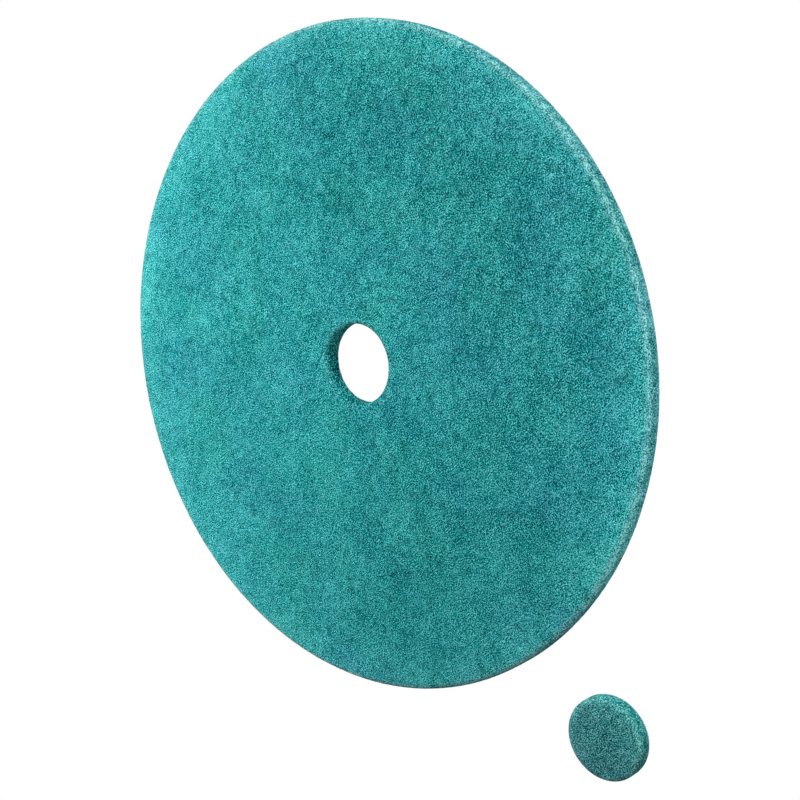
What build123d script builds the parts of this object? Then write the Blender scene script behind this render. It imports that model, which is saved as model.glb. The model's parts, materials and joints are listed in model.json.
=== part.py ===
from build123d import *
import os

# A nonwoven polishing (burnishing) pad for a floor machine, die-cut from one cured web,
# and the plug that the same die frees from its centre.
#
# All sizes are in millimetres. The origin is the pad's centre: on its axis and at half its thickness.
# +Z is the pad's axis. The pad lies flat, with the plug beside it on the -Y side.

PAD_DIAMETER = 685.8  # the 27 inch size
WEB_THICKNESS = 20.0  # loft of the cured web, the same for pad and plug
PAD_SHOULDER = 5.0  # radius that the die leaves where the outer wall meets either face
HOLE_DIAMETER = 82.6  # 3 1/4 inch hole for the pad driver's centre lock
HOLE_SHOULDER = 4.0  # radius at both mouths of the hole
PLUG_CLEARANCE = 0.6  # radial gap round the plug when it sits back in the hole
PLUG_SHOULDER = 5.0  # radius at both rims of the plug
PLUG_DISTANCE = 443.4  # from the pad's axis to the plug's axis, with the plug set down beside the pad

pad_radius = PAD_DIAMETER / 2
hole_radius = HOLE_DIAMETER / 2
plug_radius = hole_radius - PLUG_CLEARANCE


def web_disc(radius, shoulder):
    """A round cut of web, centred on the origin, with both rims rounded."""
    disc = Cylinder(radius, WEB_THICKNESS)
    rims = disc.edges().filter_by(GeomType.CIRCLE)
    return fillet(rims, shoulder)


def pad_disc():
    """The pad: a disc with a rounded hole through its centre."""
    disc = web_disc(pad_radius, PAD_SHOULDER)
    bored = disc - Cylinder(hole_radius, WEB_THICKNESS)
    mouths = bored.edges().filter_by(GeomType.CIRCLE).filter_by(lambda edge: edge.radius == hole_radius)
    return fillet(mouths, HOLE_SHOULDER)


def centre_plug():
    """The plug, pushed out of the hole, turned over and set down flat beside the pad."""
    return Pos(0, -PLUG_DISTANCE, 0) * web_disc(plug_radius, PLUG_SHOULDER)


os.makedirs("parts", exist_ok=True)
export_step(pad_disc(), "parts/pad_disc.step")
export_step(centre_plug(), "parts/centre_plug.step")
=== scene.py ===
"""Looks of a nonwoven floor polishing pad and of the centre plug cut out of it.

The pad lies flat on a pale floor with its plug beside it. Each web is a closed mesh with a real
relief, overlaid with crimped fibre strands, and both take their finish from procedural nodes.
All lengths are in metres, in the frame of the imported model.
"""

import json
import math
from collections import namedtuple

import bpy
import numpy as np
from mathutils import Matrix, Vector, noise


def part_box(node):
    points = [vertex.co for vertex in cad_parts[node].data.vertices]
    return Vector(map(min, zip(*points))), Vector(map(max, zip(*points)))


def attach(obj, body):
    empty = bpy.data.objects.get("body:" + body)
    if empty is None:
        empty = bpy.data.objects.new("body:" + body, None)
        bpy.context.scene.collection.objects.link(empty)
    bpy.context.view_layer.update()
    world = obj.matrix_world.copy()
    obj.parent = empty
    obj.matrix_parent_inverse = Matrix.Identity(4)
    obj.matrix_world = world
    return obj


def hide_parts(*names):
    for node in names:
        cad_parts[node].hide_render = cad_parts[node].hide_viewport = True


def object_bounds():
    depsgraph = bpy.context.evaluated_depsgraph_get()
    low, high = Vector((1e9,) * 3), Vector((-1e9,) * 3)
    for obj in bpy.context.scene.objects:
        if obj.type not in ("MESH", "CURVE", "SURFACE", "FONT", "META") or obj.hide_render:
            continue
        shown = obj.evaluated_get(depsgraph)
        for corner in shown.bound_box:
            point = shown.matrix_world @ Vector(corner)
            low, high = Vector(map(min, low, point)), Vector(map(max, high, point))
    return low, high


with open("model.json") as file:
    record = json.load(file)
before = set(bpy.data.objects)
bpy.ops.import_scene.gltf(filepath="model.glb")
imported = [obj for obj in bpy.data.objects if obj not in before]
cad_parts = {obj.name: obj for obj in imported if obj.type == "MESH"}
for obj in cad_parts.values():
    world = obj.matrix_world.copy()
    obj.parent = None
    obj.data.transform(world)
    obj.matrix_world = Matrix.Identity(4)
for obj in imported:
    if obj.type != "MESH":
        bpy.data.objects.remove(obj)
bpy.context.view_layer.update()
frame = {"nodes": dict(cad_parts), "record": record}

MM = 0.001
TURN = 2 * math.pi

# ---------------------------------------------------------------------------------------------
# Driving values
# ---------------------------------------------------------------------------------------------

# The web's mesh: its spacing, how much closer its rings are at rounded edges, and how irregular
# they are, as shares of the spacing.
PAD_SPACING = 3.0 * MM
PLUG_SPACING = 1.2 * MM
ARC_STEPS = 16
EDGE_DENSITY, EDGE_SPREAD = 1.8, 4 * MM
JITTER, JITTER_ALONG = 0.28, 0.6
OUTLINE_SAMPLES = 4000
FLAT_TOLERANCE = 0.01 * MM

# The web's relief: how far its surface stands off the smooth CAD shape. The folds and the clouds
# are drawn out along one level direction, the lay, and the folds are deepest at its far end.
LOFT_WAVE, LOFT_DEPTH = 60 * MM, 0.45 * MM
FOLD_WAVE, FOLD_DEPTH, FOLD_LEAST = 5.5 * MM, 0.50 * MM, 0.6
GRIT_WAVE, GRIT_DEPTH = 3.5 * MM, 0.15 * MM
ROLL_OFF_REACH, ROLL_OFF_DEPTH = 14 * MM, 1.3 * MM
WALL_RELIEF = 0.5
LAY_ANGLE = math.radians(30)
LAY_STRETCH = 1.6
PAD_REACH = 343 * MM
SEED_STEPS = (7.31, 3.17, 5.53)

# Where painted light lies on the web: how far the painted highlight along the rounded edges (partly
# also paler cut fibres) and the painted lighter band along the outer rim reach.
EDGE_HIGHLIGHT_REACH, LIP_HIGHLIGHT = 3.4 * MM, 0.35
RIM_LIGHT_REACH = 35 * MM

# The fibres: crimped strands that lie on the web, and how many lie on each part of it.
STRAND_POINTS = 8
STRAND_SIDES = 3
STRAND_STEP = 2.6 * MM
STRAND_BEND, STRAND_WANDER = 0.55, 0.35
STRAND_WIDTH, STRAND_WIDTH_RANGE = 0.22 * MM, (0.7, 1.3)
STRAND_TIP = 0.35
STRAND_LIFT = 0.10 * MM
STRAND_CRIMP = 0.35 * MM
WALL_PRESS, WALL_FLATTEN = 0.27 * MM, 0.75
FACE_STRANDS = 4500
RIM_STRANDS = 900
BORE_STRANDS = 110
PLUG_STRANDS = 220
SPAN_SAMPLES = 400

# The web's finish: wavelengths of its textures, and what each adds to the tone.
GRAIN_WAVE = 1.25 * MM
FINE_WAVE, FINE_WIDTH = 1.7 * MM, 0.08
COARSE_WAVE, COARSE_WIDTH = 2.2 * MM, 0.05
PIT_WAVE, PIT_LEVELS = 1.5 * MM, (0.48, 0.30)
CLOUD_WAVE = 34 * MM
HUE_WAVE, HUE_SWING = 90 * MM, 0.07
TONE_BASE = 0.25
GRAIN_WEIGHT = 3.2
COVER_WEIGHT = 0.40
# Painted shade: the pits are darker.
PIT_SHADE_WEIGHT = 0.24
CUT_CALM = 0.38
# Painted light and shade on the folds: lighter on their crests, darker in their hollows.
FOLD_SHADE_WEIGHT = 0.22
CLOUD_WEIGHT = 0.32
# Painted highlight along the rounded edges and hole lips, partly also the paler, whiter cut fibres
# there.
EDGE_HIGHLIGHT_WEIGHT = 0.12
# Painted light: the face is lighter in a band along the outer rim.
RIM_LIGHT_WEIGHT = 0.17
# Painted shade: the outer wall is darker, for shade in its deep cut pits.
WALL_SHADE_WEIGHT = 0.10
# Painted shade: the bore, the hole's wall, is darker.
BORE_SHADE_WEIGHT = 0.20
STRAND_TONE = 0.30
STRAND_SWING = 0.60
BUMP_STRENGTH, BUMP_DEPTH = 0.6, 0.5 * MM
WEB_ROUGHNESS, WEB_GLOSS = 0.9, 0.03
STRAND_ROUGHNESS, STRAND_GLOSS = 0.6, 0.2

# The floor: its half side, its gap below the object, and how much light it sends back.
FLOOR_REACH = 6.0
FLOOR_GAP = 0.3 * MM
FLOOR_TONE = 0.35

# Light: a faint even fill, and soft square lamps aimed at the pad's centre
# (azimuth and elevation in degrees, distance, side, watts).
FILL_STRENGTH = 0.02
LAMPS = {
    "key": (30, 15, 1.60, 0.50, 24.1),
    "left_low": (180, 35, 0.70, 0.30, 1.6),
    "left_up": (110, 35, 0.70, 0.30, 2.4),
    "below": (230, 45, 0.85, 0.50, 0.55),
    "rim_low": (300, 18, 0.63, 0.12, 0.43),
    "rim_flat": (300, 5, 0.60, 0.12, 0.17),
    "rim_right": (330, 8, 0.61, 0.12, 0.39),
    "middle": (146, 80, 0.22, 0.14, 0.085),
    "under": (0, -90, 1.60, 1.00, 25.0),
}

# The camera: where it stands around the pad's centre, what it aims at and how it is rolled.
CAMERA_AZIMUTH = math.radians(62.235)
CAMERA_ELEVATION = math.radians(47.272)
CAMERA_DISTANCE = 1.47193
CAMERA_AIM = Vector((0.02202, -0.06134, 0.010))
CAMERA_ROLL = math.radians(104.055)
CAMERA_LENS = 64.44
SENSOR_WIDTH = 36.0

# ---------------------------------------------------------------------------------------------
# Swept surfaces
# ---------------------------------------------------------------------------------------------

Arc = namedtuple("Arc", "radius height size turn_in turn_out worn", defaults=[True])
Spots = namedtuple("Spots", "places normals radial edge worn")


class Surface:
    """A surface of revolution about a vertical axis, from quarter arcs joined by straight runs.

    A point on it is given by its length along the outline and its angle about the axis.
    """

    def __init__(self, arcs, closed, centre):
        self.closed = closed
        self.centre = np.array(centre)
        rows, marks = [], []
        for arc in arcs + (arcs[:1] if closed else []):
            steps = ARC_STEPS if arc.size else 0
            marks.append((len(rows), len(rows) + steps))
            for turn in np.linspace(arc.turn_in, arc.turn_out, steps + 1):
                out_r, out_z = math.cos(turn), math.sin(turn)
                point = (arc.radius + arc.size * out_r, arc.height + arc.size * out_z)
                rows.append((*point, out_r, out_z))
        # A closed outline ends where it starts, at the first row of the repeated arc.
        self.rows = np.array(rows[: len(rows) - ARC_STEPS] if closed else rows)
        pieces = np.linalg.norm(np.diff(self.rows[:, :2], axis=0), axis=1)
        self.along = np.concatenate(([0.0], np.cumsum(pieces)))
        self.length = self.along[-1]
        # Where each arc starts and ends along the outline.
        self.marks = [self.along[[first, last]] for first, last in marks[: len(arcs)]]
        self.arcs = [arc for arc in arcs if arc.size]

    def outline(self, along):
        """Radius, height and outward normal (radial, vertical) at each length along the outline."""
        if self.closed:
            along = np.mod(along, self.length)
        else:
            along = np.clip(along, 0, self.length)
        return [np.interp(along, self.along, column) for column in self.rows.T]

    def at(self, along, angle):
        """Places, normals, their radial part, and distances to the nearest edge and worn edge."""
        radius, height, out_r, out_z = self.outline(along)
        cos, sin = np.cos(angle), np.sin(angle)
        places = np.stack([radius * cos, radius * sin, height], axis=-1) + self.centre
        normals = np.stack([out_r * cos, out_r * sin, out_z], axis=-1)
        normals /= np.linalg.norm(normals, axis=-1, keepdims=True)
        edge = self.distance(radius, height, self.arcs)
        worn = self.distance(radius, height, [arc for arc in self.arcs if arc.worn])
        return Spots(places, normals, out_r, edge, worn)

    @staticmethod
    def distance(radius, height, arcs):
        """Distance of outline points to the middle of the nearest of some arcs."""
        gaps = []
        for arc in arcs:
            turn = (arc.turn_in + arc.turn_out) / 2
            across = radius - arc.radius - arc.size * math.cos(turn)
            up = height - arc.height - arc.size * math.sin(turn)
            gaps.append(np.hypot(across, up))
        return np.min(gaps, axis=0)

    def rings(self, spacing):
        """Lengths along the outline, at the spacing on the faces and closer at rounded edges."""
        fine = np.linspace(0, self.length, OUTLINE_SAMPLES)
        edge = self.at(fine, np.zeros_like(fine)).edge
        density = 1 + (EDGE_DENSITY - 1) * np.exp(-((edge / EDGE_SPREAD) ** 2))
        cost = np.concatenate(([0.0], np.cumsum(density[1:] * np.diff(fine))))
        count = round(cost[-1] / spacing)
        stations = np.interp(np.linspace(0, cost[-1], count + 1), cost, fine)
        return stations[:-1] if self.closed else stations


def noise_field(places, wave, seed):
    """Smooth noise of about -1 to 1 at each place."""
    shift = Vector([seed * step for step in SEED_STEPS])
    flat = places.reshape(-1, 3) / wave
    values = [noise.noise(Vector(place) + shift) for place in flat.tolist()]
    return np.array(values).reshape(places.shape[:-1])


def folds(places):
    """Soft folds of about -1 to 1 along the lay direction, deepest at its far end."""
    cos, sin = math.cos(LAY_ANGLE), math.sin(LAY_ANGLE)
    along = places[..., 0] * cos + places[..., 1] * sin
    across = places[..., 1] * cos - places[..., 0] * sin
    laid = np.stack([along / LAY_STRETCH, across, places[..., 2]], axis=-1)
    depth = np.interp(along, (-PAD_REACH, PAD_REACH), (FOLD_LEAST, 1))
    return depth * noise_field(laid, FOLD_WAVE, seed=2)


def relief(spots, fine=True):
    """How far the web stands off the CAD surface: loft, folds, grit and worn-down edges.

    On the upright walls it only goes into the web, so that the plug still fits its hole.
    """
    height = LOFT_DEPTH * noise_field(spots.places, LOFT_WAVE, seed=1)
    height += FOLD_DEPTH * folds(spots.places)
    if fine:
        height += GRIT_DEPTH * noise_field(spots.places, GRIT_WAVE, seed=3)
    upright = spots.radial**2
    sunk = WALL_RELIEF * np.minimum(height, 0)
    roll_off = ROLL_OFF_DEPTH * np.exp(-spots.worn / ROLL_OFF_REACH)
    return (1 - upright) * (height - roll_off) + upright * sunk


def stitch(first, second):
    """Triangles between two rings of vertices, given as (start index, angles)."""
    start_a, angles_a = first
    start_b, angles_b = second
    count_a, count_b = len(angles_a), len(angles_b)
    next_a = np.append(angles_a[1:], angles_a[0] + TURN)
    next_b = np.append(angles_b[1:], angles_b[0] + TURN)
    order = np.argsort(np.concatenate([next_a, next_b]), kind="stable")
    steps_a = order < count_a
    a = np.cumsum(steps_a) - steps_a
    b = np.cumsum(~steps_a) - ~steps_a
    corner_a = start_a + a % count_a
    corner_b = start_b + b % count_b
    third = np.where(steps_a, start_a + (a + 1) % count_a, start_b + (b + 1) % count_b)
    triangles = np.stack([third, corner_a, corner_b], axis=1)
    different = (third != corner_a) & (third != corner_b) & (corner_a != corner_b)
    return triangles[different]


def web_mesh(name, surface, spacing, seed):
    """A closed triangle mesh over a surface, with the web's relief."""
    rng = np.random.default_rng(seed)
    stations = surface.rings(spacing)
    radii = surface.outline(stations)[0]
    rings, along, angle = [], [], []
    start = 0
    for station, radius in zip(stations, radii):
        count = max(1, round(TURN * radius / spacing))
        angles = TURN * (np.arange(count) + rng.random()) / count
        rings.append((start, angles))
        wobble = rng.uniform(-JITTER, JITTER, (2, count)) * spacing
        # The point on the axis stays where it is.
        if radius < spacing / 4:
            wobble[:] = 0
        along.append(station + wobble[0] * JITTER_ALONG)
        angle.append(angles + wobble[1] / max(radius, spacing))
        start += count
    pairs = list(zip(rings, rings[1:]))
    if surface.closed:
        pairs.append((rings[-1], rings[0]))
    triangles = np.concatenate([stitch(a, b) for a, b in pairs])
    spots = surface.at(np.concatenate(along), np.concatenate(angle))
    vertices = spots.places + spots.normals * relief(spots)[:, None]
    return new_mesh(name, vertices, triangles, zones(spots))


def near(distance):
    """1 at a rounded edge, fading to 0 within a few millimetres of it."""
    return np.exp(-((distance / EDGE_HIGHLIGHT_REACH) ** 2))


def zones(spots):
    """Vertex attributes that tell a material where it is on the smooth shape, and in which zone."""
    return {
        "smooth_place": spots.places,
        # The outer wall's mask picks its cut colour and darkens it with painted shade.
        "wall": np.maximum(spots.radial, 0) ** 2,
        # The bore's mask darkens the hole's wall with painted shade.
        "bore": np.minimum(spots.radial, 0) ** 2,
        # Painted highlight along the rounded edges and hole lips, which also picks the paler cut
        # colour there.
        "pale_edge_and_highlight": np.maximum(near(spots.worn), LIP_HIGHLIGHT * near(spots.edge)),
        # Painted light: a lighter band along the outer rim.
        "painted_rim_light": np.exp(-spots.worn / RIM_LIGHT_REACH),
        # Painted light and shade following the folds' relief.
        "fold_light_and_shade": folds(spots.places),
    }


def new_mesh(name, vertices, triangles, attributes):
    """A smooth-shaded mesh object with number or vector attributes on its vertices."""
    mesh = bpy.data.meshes.new(name)
    mesh.vertices.add(len(vertices))
    mesh.vertices.foreach_set("co", vertices.astype(np.float32).ravel())
    mesh.loops.add(triangles.size)
    mesh.loops.foreach_set("vertex_index", triangles.astype(np.int32).ravel())
    mesh.polygons.add(len(triangles))
    mesh.polygons.foreach_set("loop_start", np.arange(0, triangles.size, 3, dtype=np.int32))
    for key, values in attributes.items():
        kind, field = ("FLOAT", "value") if values.ndim == 1 else ("FLOAT_VECTOR", "vector")
        column = mesh.attributes.new(key, kind, "POINT").data
        column.foreach_set(field, values.astype(np.float32).ravel())
    mesh.update(calc_edges=True)
    mesh.shade_smooth()
    piece = bpy.data.objects.new(name, mesh)
    bpy.context.scene.collection.objects.link(piece)
    return piece


def strand_mesh(name, surface, span, count, seed):
    """Crimped strands lying on part of a surface, each a thin tube that tapers to its ends.

    On upright walls they are pressed flat into the web, to leave the plug its gap.
    span: the first and last length along the outline where a strand may start.
    """
    rng = np.random.default_rng(seed)
    grid = np.linspace(*span, SPAN_SAMPLES)
    area = np.cumsum(surface.outline(grid)[0])
    along = np.interp(rng.random(count), area / area[-1], grid)
    angle = rng.uniform(0, TURN, count)
    heading = rng.uniform(0, TURN, count)
    curl = rng.normal(0, STRAND_BEND, count)
    track = []
    for _ in range(STRAND_POINTS):
        track.append((along, angle))
        radius = np.maximum(surface.outline(along)[0], STRAND_STEP)
        along = along + STRAND_STEP * np.cos(heading)
        angle = angle + STRAND_STEP * np.sin(heading) / radius
        heading = heading + curl + rng.normal(0, STRAND_WANDER, count)
    along, angle = (np.stack(rows, axis=1) for rows in zip(*track))
    spots = surface.at(along, angle)
    upright = spots.radial**2
    height = relief(spots, fine=False) + STRAND_LIFT - WALL_PRESS * upright
    height += STRAND_CRIMP * (1 - WALL_FLATTEN * upright) * rng.uniform(-1, 1, height.shape)
    places = spots.places + spots.normals * height[..., None]
    ahead = np.gradient(places, axis=1)
    ahead /= np.linalg.norm(ahead, axis=-1, keepdims=True)
    side = np.cross(ahead, spots.normals)
    side /= np.linalg.norm(side, axis=-1, keepdims=True)
    up = np.cross(side, ahead)
    taper = np.ones(STRAND_POINTS)
    taper[[0, -1]] = STRAND_TIP
    width = STRAND_WIDTH * rng.uniform(*STRAND_WIDTH_RANGE, count)[:, None] * taper
    # One corner points into the web, so that a flat side faces out.
    corners = []
    for corner in range(STRAND_SIDES):
        turn = TURN * (corner + 0.75) / STRAND_SIDES
        corners.append(places + width[..., None] * (side * math.cos(turn) - up * math.sin(turn)))
    vertices = np.stack(corners, axis=2).reshape(-1, 3)
    attributes = {}
    for key, values in zones(spots).items():
        values = values.reshape(count * STRAND_POINTS, *values.shape[2:])
        attributes[key] = np.repeat(values, STRAND_SIDES, axis=0)
    attributes["tint"] = np.repeat(rng.random(count), STRAND_POINTS * STRAND_SIDES)
    return new_mesh(name, vertices, strand_triangles(count), attributes)


def strand_triangles(count):
    """Triangles of the tubes, and of the caps at their ends."""
    one = []
    for point in range(STRAND_POINTS - 1):
        for corner in range(STRAND_SIDES):
            a = point * STRAND_SIDES + corner
            b = point * STRAND_SIDES + (corner + 1) % STRAND_SIDES
            one.append((a, b, a + STRAND_SIDES))
            one.append((b, b + STRAND_SIDES, a + STRAND_SIDES))
    last = (STRAND_POINTS - 1) * STRAND_SIDES
    for corner in range(1, STRAND_SIDES - 1):
        one.append((corner + 1, corner, 0))
        one.append((last, last + corner, last + corner + 1))
    offsets = np.arange(count) * STRAND_POINTS * STRAND_SIDES
    return (np.array(one)[None] + offsets[:, None, None]).reshape(-1, 3)


# ---------------------------------------------------------------------------------------------
# Materials
# ---------------------------------------------------------------------------------------------


class Graph:
    """Short ways to add nodes to a material's tree and to join them."""

    def __init__(self, name):
        self.material = bpy.data.materials.new(name)
        self.material.use_nodes = True
        self.tree = self.material.node_tree
        self.tree.nodes.clear()

    def add(self, kind, inputs=(), **settings):
        """A new node. inputs: (socket name or number, value or output socket) pairs."""
        node = self.tree.nodes.new(kind)
        for key, value in settings.items():
            setattr(node, key, value)
        for key, value in dict(inputs).items():
            if isinstance(value, bpy.types.NodeSocket):
                self.tree.links.new(value, node.inputs[key])
            else:
                node.inputs[key].default_value = value
        return node

    def math(self, operation, first, second=0.5):
        """The output of a Math node."""
        node = self.add("ShaderNodeMath", {0: first, 1: second}, operation=operation)
        return node.outputs[0]

    def noise(self, place, wave, detail=0.0):
        """Noise of 0 to 1 whose features repeat at about the given wavelength."""
        inputs = {"Vector": place, "Scale": 1 / wave, "Detail": detail}
        return self.add("ShaderNodeTexNoise", inputs).outputs["Fac"]

    def stretched(self, place, angle, stretch):
        """A place whose texture is drawn out along a level direction."""
        inputs = {"Vector": place, "Rotation": (0, 0, angle), "Scale": (stretch, 1, 1)}
        return self.add("ShaderNodeMapping", inputs, vector_type="TEXTURE").outputs[0]

    def fade(self, value, low, high):
        """0 below low and 1 above high, with a smooth step between; low may be the larger."""
        inputs = {"Value": value, "From Min": low, "From Max": high}
        node = self.add("ShaderNodeMapRange", inputs, interpolation_type="SMOOTHSTEP")
        return node.outputs["Result"]

    def strands(self, place, wave, width):
        """1 on thin curly lines and 0 between them: the level lines of a noise."""
        level = self.math("SUBTRACT", self.noise(place, wave, detail=1.0), 0.5)
        return self.fade(self.math("ABSOLUTE", level), width, 0.0)

    def weigh(self, total, *terms):
        """The sum of a number and of (value, weight) terms."""
        for value, weight in terms:
            inputs = {0: value, 1: weight, 2: total}
            total = self.add("ShaderNodeMath", inputs, operation="MULTIPLY_ADD").outputs[0]
        return total

    def ramp(self, value, stops):
        """A colour ramp with evenly spaced stops."""
        node = self.add("ShaderNodeValToRGB", {"Fac": value})
        elements = node.color_ramp.elements
        while len(elements) < len(stops):
            elements.new(0.5)
        for index, colour in enumerate(stops):
            elements[index].position = index / (len(stops) - 1)
        for element, colour in zip(elements, stops):
            element.color = colour
        return node.outputs["Color"]

    def mix(self, share, first, second):
        """A mix of two colours."""
        node = self.add("ShaderNodeMix", {0: share, 6: first, 7: second}, data_type="RGBA")
        return node.outputs[2]

    def attribute(self, name, output="Fac"):
        """A number or vector attribute of the mesh."""
        return self.add("ShaderNodeAttribute", attribute_name=name).outputs[output]

    def zone_terms(self):
        """What a place's zone adds to its tone, as terms for weigh."""
        # Painted light and shade by zone: lighter fold crests and darker hollows, a highlight along
        # rounded edges, a lighter band along the outer rim, and shade on the outer wall and in the
        # bore.
        return [
            (self.attribute("fold_light_and_shade"), FOLD_SHADE_WEIGHT),
            (self.attribute("pale_edge_and_highlight"), EDGE_HIGHLIGHT_WEIGHT),
            (self.attribute("painted_rim_light"), RIM_LIGHT_WEIGHT),
            (self.attribute("wall"), -WALL_SHADE_WEIGHT),
            (self.attribute("bore"), -BORE_SHADE_WEIGHT),
        ]

    def cut(self):
        """1 on the outer wall and on the rounded edges, 0 on the faces."""
        return self.math("MAXIMUM", self.attribute("wall"), self.attribute("pale_edge_and_highlight"))

    def web_colour(self, tone, palette):
        """The colour of a tone: the face's ramp, or the cut's on walls and rounded edges."""
        return self.mix(self.cut(), self.ramp(tone, palette.face), self.ramp(tone, palette.cut))

    def set_surface(self, colour, roughness, gloss, normal=None):
        """Ends the tree with a surface of one colour, with a bumped normal where one is given."""
        inputs = {"Base Color": colour, "Roughness": roughness, "Specular IOR Level": gloss}
        if normal is not None:
            inputs["Normal"] = normal
        shader = self.add("ShaderNodeBsdfPrincipled", inputs)
        self.add("ShaderNodeOutputMaterial", {"Surface": shader.outputs[0]})


Palette = namedtuple("Palette", "face cut")


def linear(red, green, blue):
    """An sRGB colour of 0 to 255 as linear RGBA."""
    parts = [c / 255 for c in (red, green, blue)]
    return (*[p / 12.92 if p <= 0.04045 else ((p + 0.055) / 1.055) ** 2.4 for p in parts], 1.0)


def shades(*colours):
    """Ramp stops from the darkest pit to the lightest strand."""
    return [linear(*colour) for colour in colours]


# The darkest stops are painted shade in the pits, the whitish lightest stops a painted sheen on the
# strand tops.
PAD_PALETTE = Palette(
    face=shades((0, 26, 30), (0, 84, 88), (0, 138, 141), (10, 192, 194), (130, 248, 248)),
    cut=shades((0, 38, 42), (8, 84, 88), (34, 132, 137), (98, 182, 186), (168, 234, 234)),
)
# The plug is cut from the same web; its darker face ramp is painted shade.
PLUG_SHADED_PALETTE = Palette(
    face=shades((0, 20, 28), (0, 66, 76), (0, 116, 122), (52, 168, 174), (144, 226, 228)),
    cut=shades((0, 32, 38), (2, 82, 84), (20, 132, 134), (92, 186, 186), (162, 237, 237)),
)


def web_material(name, palette):
    """Resin-bonded fibre web: light crimped strands over darker pits, with a soft cloudy mottle."""
    graph = Graph(name)
    place = graph.attribute("smooth_place", "Vector")
    laid = graph.stretched(place, LAY_ANGLE, LAY_STRETCH)
    fine = graph.strands(place, FINE_WAVE, FINE_WIDTH)
    coarse = graph.strands(place, COARSE_WAVE, COARSE_WIDTH)
    cover = graph.math("MAXIMUM", fine, coarse)
    # The pits sink the bump and darken the tone with painted shade.
    pits = graph.fade(graph.noise(place, PIT_WAVE, detail=1.0), *PIT_LEVELS)
    grain = graph.noise(place, GRAIN_WAVE, detail=1.0)
    cloud = graph.noise(laid, CLOUD_WAVE, detail=1.0)
    texture = graph.weigh(
        -GRAIN_WEIGHT / 2,
        (grain, GRAIN_WEIGHT),
        (cover, COVER_WEIGHT),
        (pits, -PIT_SHADE_WEIGHT),
    )
    contrast = graph.weigh(1.0, (graph.cut(), -CUT_CALM))
    tone = graph.weigh(TONE_BASE, (texture, contrast), (cloud, CLOUD_WEIGHT), *graph.zone_terms())
    colour = graph.web_colour(tone, palette)
    drift = graph.noise(place, HUE_WAVE, detail=2.0)
    hue = graph.weigh(0.5 - HUE_SWING / 2, (drift, HUE_SWING))
    colour = graph.add("ShaderNodeHueSaturation", {"Hue": hue, "Color": colour}).outputs["Color"]
    height = graph.math("SUBTRACT", cover, pits)
    inputs = {"Height": height, "Strength": BUMP_STRENGTH, "Distance": BUMP_DEPTH}
    normal = graph.add("ShaderNodeBump", inputs).outputs[0]
    graph.set_surface(colour, WEB_ROUGHNESS, WEB_GLOSS, normal)
    return graph.material


def fibre_material(name, palette):
    """Single strands: each has its own tone."""
    graph = Graph(name)
    # The strands take the same painted light and shade by zone as the web.
    tone = graph.weigh(STRAND_TONE, (graph.attribute("tint"), STRAND_SWING), *graph.zone_terms())
    graph.set_surface(graph.web_colour(tone, palette), STRAND_ROUGHNESS, STRAND_GLOSS)
    return graph.material


# ---------------------------------------------------------------------------------------------
# The pad and the plug
# ---------------------------------------------------------------------------------------------


def flat_reach(node, centre):
    """Radius of a CAD node, and the inner and outer radius of its flat upper face."""
    places = np.array([vertex.co for vertex in frame["nodes"][node].data.vertices])
    radii = np.hypot(places[:, 0] - centre[0], places[:, 1] - centre[1])
    top = places[:, 2] > places[:, 2].max() - FLAT_TOLERANCE
    return radii.max(), radii[top].min(), radii[top].max()


def mount(name):
    """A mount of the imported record."""
    return next(m for m in frame["record"]["mounts"] if m["name"] == name)


def disc_surface(node, hole_radius=None):
    """The surface of a flat disc with rounded edges, with a round hole or without one."""
    low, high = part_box(node)
    middle = (low + high) / 2
    half = (high.z - low.z) / 2
    radius, flat_in, flat_out = flat_reach(node, middle)
    shoulder = radius - flat_out
    reach, rise = radius - shoulder, half - shoulder
    quarter = math.pi / 2
    arcs = [Arc(reach, rise, shoulder, quarter, 0), Arc(reach, -rise, shoulder, 0, -quarter)]
    if hole_radius is None:
        arcs = [Arc(0, half, 0, quarter, quarter)] + arcs + [Arc(0, -half, 0, -quarter, -quarter)]
        return Surface(arcs, False, middle)
    lip = flat_in - hole_radius
    arcs += [
        Arc(flat_in, lip - half, lip, -quarter, -2 * quarter, worn=False),
        Arc(flat_in, half - lip, lip, 2 * quarter, quarter, worn=False),
    ]
    return Surface(arcs, True, middle)


def add_piece(piece, body, material):
    """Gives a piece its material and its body."""
    piece.data.materials.append(material)
    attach(piece, body)


def add_strands(name, surface, spans, material, body, seed):
    """Strand pieces on parts of a surface: name and span of each, with its number of strands."""
    for index, (part, span, count) in enumerate(spans):
        strands = strand_mesh(f"{name}_{part}", surface, span, count, seed + index)
        add_piece(strands, body, material)


def build_pad():
    """The pad's web and the strands on it."""
    surface = disc_surface("pad_disc", mount("centre_hole")["dims"]["r_mm"] * MM)
    web = web_mesh("pad_web", surface, PAD_SPACING, seed=11)
    add_piece(web, "pad", web_material("pad_web", PAD_PALETTE))
    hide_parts("pad_disc")
    # The outline goes round the rim, in along the lower face, up the bore and out again.
    rim_in, rim_out = surface.marks[0][0], surface.marks[1][1]
    bore_in, bore_out = surface.marks[2][0], surface.marks[3][1]
    spans = [
        ("rim", (rim_in, rim_out), RIM_STRANDS),
        ("lower", (rim_out, bore_in), FACE_STRANDS),
        ("bore", (bore_in, bore_out), BORE_STRANDS),
        ("upper", (bore_out, surface.length), FACE_STRANDS),
    ]
    material = fibre_material("pad_fibres", PAD_PALETTE)
    add_strands("pad_fibres", surface, spans, material, "pad", seed=31)


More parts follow.
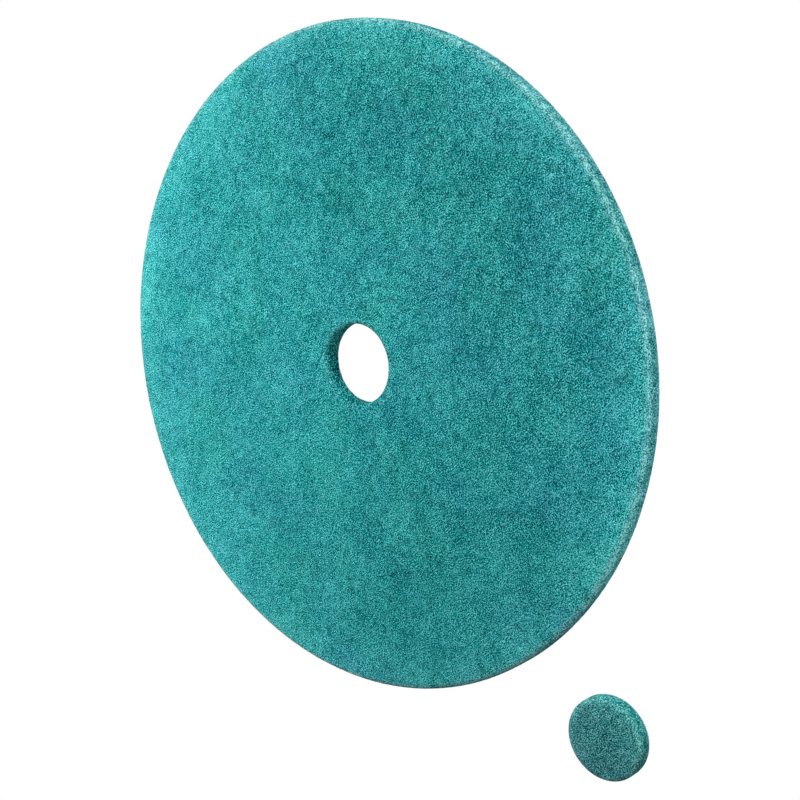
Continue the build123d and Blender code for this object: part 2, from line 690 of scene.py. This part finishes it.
def build_plug():
    """The plug's web and the strands on it."""
    surface = disc_surface("centre_plug")
    web = web_mesh("plug_web", surface, PLUG_SPACING, seed=21)
    add_piece(web, "plug", web_material("plug_web", PLUG_SHADED_PALETTE))
    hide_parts("centre_plug")
    spans = [("all", (0, surface.length), PLUG_STRANDS)]
    material = fibre_material("plug_fibres", PLUG_SHADED_PALETTE)
    add_strands("plug_fibres", surface, spans, material, "plug", seed=41)


# ---------------------------------------------------------------------------------------------
# Floor, light and camera
# ---------------------------------------------------------------------------------------------


def build_floor():
    """A pale floor under the object that reads as plain white and is clear from below."""
    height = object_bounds()[0][2] - FLOOR_GAP
    sides = ((-1, -1), (1, -1), (1, 1), (-1, 1))
    corners = np.array([(FLOOR_REACH * x, FLOOR_REACH * y, height) for x, y in sides])
    floor = new_mesh("floor", corners, np.array([(0, 1, 2), (0, 2, 3)]), {})
    graph = Graph("floor")
    grey = (FLOOR_TONE, FLOOR_TONE, FLOOR_TONE, 1)
    matt = graph.add("ShaderNodeBsdfDiffuse", {"Color": grey}).outputs[0]
    white = graph.add("ShaderNodeEmission", {"Color": (1, 1, 1, 1), "Strength": 1.0}).outputs[0]
    clear = graph.add("ShaderNodeBsdfTransparent").outputs[0]
    seen = graph.add("ShaderNodeLightPath").outputs["Is Camera Ray"]
    below = graph.add("ShaderNodeNewGeometry").outputs["Backfacing"]
    shown = graph.add("ShaderNodeMixShader", {0: seen, 1: matt, 2: white}).outputs[0]
    surface = graph.add("ShaderNodeMixShader", {0: below, 1: shown, 2: clear}).outputs[0]
    graph.add("ShaderNodeOutputMaterial", {"Surface": surface})
    floor.data.materials.append(graph.material)
    floor.visible_shadow = False


def build_world():
    """White behind everything, and a softer white as fill light."""
    world = bpy.data.worlds.new("studio")
    world.use_nodes = True
    tree = world.node_tree
    tree.nodes.clear()
    path = tree.nodes.new("ShaderNodeLightPath")
    strength = tree.nodes.new("ShaderNodeMapRange")
    strength.inputs["To Min"].default_value = FILL_STRENGTH
    strength.inputs["To Max"].default_value = 1.0
    background = tree.nodes.new("ShaderNodeBackground")
    output = tree.nodes.new("ShaderNodeOutputWorld")
    tree.links.new(path.outputs["Is Camera Ray"], strength.inputs["Value"])
    tree.links.new(strength.outputs["Result"], background.inputs["Strength"])
    tree.links.new(background.outputs[0], output.inputs["Surface"])
    background.inputs["Color"].default_value = (1, 1, 1, 1)
    bpy.context.scene.world = world


def build_lamps():
    """Square area lamps around the object, and one below it for its underside."""
    for name, (azimuth, elevation, distance, side, power) in LAMPS.items():
        lamp = bpy.data.lights.new(name, "AREA")
        lamp.size = side
        lamp.energy = power
        holder = bpy.data.objects.new(name, lamp)
        turn, lift = math.radians(azimuth), math.radians(elevation)
        level = math.cos(lift)
        place = Vector((math.cos(turn) * level, math.sin(turn) * level, math.sin(lift)))
        holder.matrix_world = aimed(distance * place, Vector((0, 0, 0)))
        holder.visible_camera = False
        bpy.context.scene.collection.objects.link(holder)


def aimed(place, target, roll=0.0):
    """A matrix at a place with -Z towards the target, rolled about the line of sight."""
    forward = (target - place).normalized()
    level_right = forward.cross(Vector((0, 0, 1)))
    if level_right.length < 1e-6:
        level_right = Vector((1, 0, 0))
    up = Matrix.Rotation(roll, 3, forward) @ level_right.cross(forward).normalized()
    right = forward.cross(up)
    axes = Matrix((right, up, -forward)).transposed()
    return Matrix.Translation(place) @ axes.to_4x4()


def build_camera():
    """The camera at the photograph's viewing angle."""
    camera = bpy.data.cameras.new("camera")
    camera.sensor_width = SENSOR_WIDTH
    camera.lens = CAMERA_LENS
    holder = bpy.data.objects.new("camera", camera)
    level = math.cos(CAMERA_ELEVATION)
    place = CAMERA_DISTANCE * Vector(
        (
            math.sin(CAMERA_AZIMUTH) * level,
            -math.cos(CAMERA_AZIMUTH) * level,
            math.sin(CAMERA_ELEVATION),
        )
    )
    holder.matrix_world = aimed(place, CAMERA_AIM, CAMERA_ROLL)
    bpy.context.scene.collection.objects.link(holder)
    bpy.context.scene.camera = holder


build_pad()
build_plug()
build_floor()
build_world()
build_lamps()
build_camera()
bpy.context.scene.view_settings.view_transform = "Standard"
